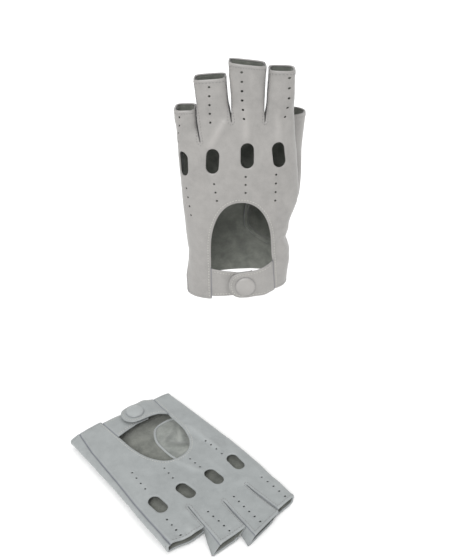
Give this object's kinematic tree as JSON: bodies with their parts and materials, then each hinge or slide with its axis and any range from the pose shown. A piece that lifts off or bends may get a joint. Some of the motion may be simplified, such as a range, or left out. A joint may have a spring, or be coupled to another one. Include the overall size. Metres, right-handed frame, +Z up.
{
  "type": "leather driving gloves",
  "caption": "Pair of unlined half-finger driving gloves in thin pale grey leather: one keeps the worn shape and stands, one lies flat, with knuckle ovals, arched wrist opening and snap tabs.",
  "frame": {"origin": "middle of the upright left glove's wrist opening, level with the lowest stretch of its hem where the tabs cross", "axes": "+Z up along the upright fingers, -Y out of the back of the upright hand, +X towards its thumb side"},
  "size_m": [0.1724, 0.1769, 0.2767],
  "materials": {
    "glove_leather": "smooth thin glove leather, satin, warm pale grey outside and suede inside",
    "fourchette_leather": "the same leather, in the shaded side strips of the fingers",
    "cap_leather": "the same leather stretched over the domed cap of the snap",
    "snap_metal": "nickel-plated snap parts, lightly brushed"
  },
  "bodies": {
    "left_hand": {"left_trank": "glove_leather", "left_thumb_base": "glove_leather", "left_under_tab": "glove_leather", "left_snap_stud": "snap_metal", "left_snap_post": "snap_metal"},
    "left_little": {"left_little_stall": "glove_leather", "left_little_fourchette": "fourchette_leather"},
    "left_ring": {"left_ring_stall": "glove_leather", "left_ring_fourchette_outer": "fourchette_leather", "left_ring_fourchette_inner": "fourchette_leather"},
    "left_middle": {"left_middle_stall": "glove_leather", "left_middle_fourchette_outer": "fourchette_leather", "left_middle_fourchette_inner": "fourchette_leather"},
    "left_index": {"left_index_stall": "glove_leather", "left_index_fourchette": "fourchette_leather"},
    "left_thumb": {"left_thumb_stall": "glove_leather"},
    "left_over_tab": {"left_over_tab": "glove_leather", "left_snap_cap": "cap_leather", "left_snap_socket": "snap_metal"},
    "right_hand": {"right_trank": "glove_leather", "right_thumb_base": "glove_leather", "right_under_tab": "glove_leather", "right_snap_stud": "snap_metal", "right_snap_post": "snap_metal"},
    "right_little": {"right_little_stall": "glove_leather", "right_little_fourchette": "fourchette_leather"},
    "right_ring": {"right_ring_stall": "glove_leather", "right_ring_fourchette_outer": "fourchette_leather", "right_ring_fourchette_inner": "fourchette_leather"},
    "right_middle": {"right_middle_stall": "glove_leather", "right_middle_fourchette_outer": "fourchette_leather", "right_middle_fourchette_inner": "fourchette_leather"},
    "right_index": {"right_index_stall": "glove_leather", "right_index_fourchette": "fourchette_leather"},
    "right_thumb": {"right_thumb_stall": "glove_leather"},
    "right_over_tab": {"right_over_tab": "glove_leather", "right_snap_cap": "cap_leather", "right_snap_socket": "snap_metal"}
  },
  "joints": [
    {"name": "left_little_flex", "type": "hinge", "parent": "left_hand", "child": "left_little", "pos_m": [-0.03305, 0.006, 0.11], "axis": [-1, 0, 0], "range_deg": [0, 50], "stiffness_Nm_per_rad": 0.01},
    {"name": "left_ring_flex", "type": "hinge", "parent": "left_hand", "child": "left_ring", "pos_m": [-0.01535, 0.006, 0.124], "axis": [-1, 0, 0], "range_deg": [0, 50], "stiffness_Nm_per_rad": 0.01},
    {"name": "left_middle_flex", "type": "hinge", "parent": "left_hand", "child": "left_middle", "pos_m": [0.0054, 0.006, 0.124], "axis": [-1, 0, 0], "range_deg": [0, 50], "stiffness_Nm_per_rad": 0.01},
    {"name": "left_index_flex", "type": "hinge", "parent": "left_hand", "child": "left_index", "pos_m": [0.0256, 0.006, 0.124], "axis": [-1, 0, 0], "range_deg": [0, 50], "stiffness_Nm_per_rad": 0.01},
    {"name": "left_thumb_swing", "type": "hinge", "parent": "left_hand", "child": "left_thumb", "pos_m": [0.031, 0.031, 0.082], "axis": [-1, 0, 0], "range_deg": [0, 35], "stiffness_Nm_per_rad": 0.01},
    {"name": "left_over_tab_open", "type": "hinge", "parent": "left_hand", "child": "left_over_tab", "pos_m": [0.0245, -0.0134, 0.014], "axis": [-0.0885, 0, 0.9961], "range_deg": [0, 100], "stiffness_Nm_per_rad": 0.002},
    {"name": "right_glove_lift", "type": "slide", "parent": "left_hand", "child": "right_hand", "axis": [0, 0, 1], "range_m": [0, 0.08]},
    {"name": "right_little_flex", "type": "hinge", "parent": "right_hand", "child": "right_little", "pos_m": [-0.04398, -0.11558, -0.1117], "axis": [-0.7218, -0.6921, 0], "range_deg": [0, 50], "stiffness_Nm_per_rad": 0.01},
    {"name": "right_ring_flex", "type": "hinge", "parent": "right_hand", "child": "right_ring", "pos_m": [-0.01603, -0.10817, -0.1117], "axis": [-0.7218, -0.6921, 0], "range_deg": [0, 50], "stiffness_Nm_per_rad": 0.01},
    {"name": "right_middle_flex", "type": "hinge", "parent": "right_hand", "child": "right_middle", "pos_m": [-0.00098, -0.09374, -0.1117], "axis": [-0.7218, -0.6921, 0], "range_deg": [0, 50], "stiffness_Nm_per_rad": 0.01},
    {"name": "right_index_flex", "type": "hinge", "parent": "right_hand", "child": "right_index", "pos_m": [0.0145, -0.0789, -0.1117], "axis": [-0.7218, -0.6921, 0], "range_deg": [0, 50], "stiffness_Nm_per_rad": 0.01},
    {"name": "right_thumb_swing", "type": "hinge", "parent": "right_hand", "child": "right_thumb", "pos_m": [-0.04516, -0.02527, -0.1207], "axis": [0, 0, 1], "range_deg": [0, 40], "stiffness_Nm_per_rad": 0.002},
    {"name": "right_over_tab_open", "type": "hinge", "parent": "right_hand", "child": "right_over_tab", "pos_m": [-0.06333, -0.00113, -0.11], "axis": [-0.6921, 0.7218, 0], "range_deg": [0, 110], "stiffness_Nm_per_rad": 0.002}
  ]
}
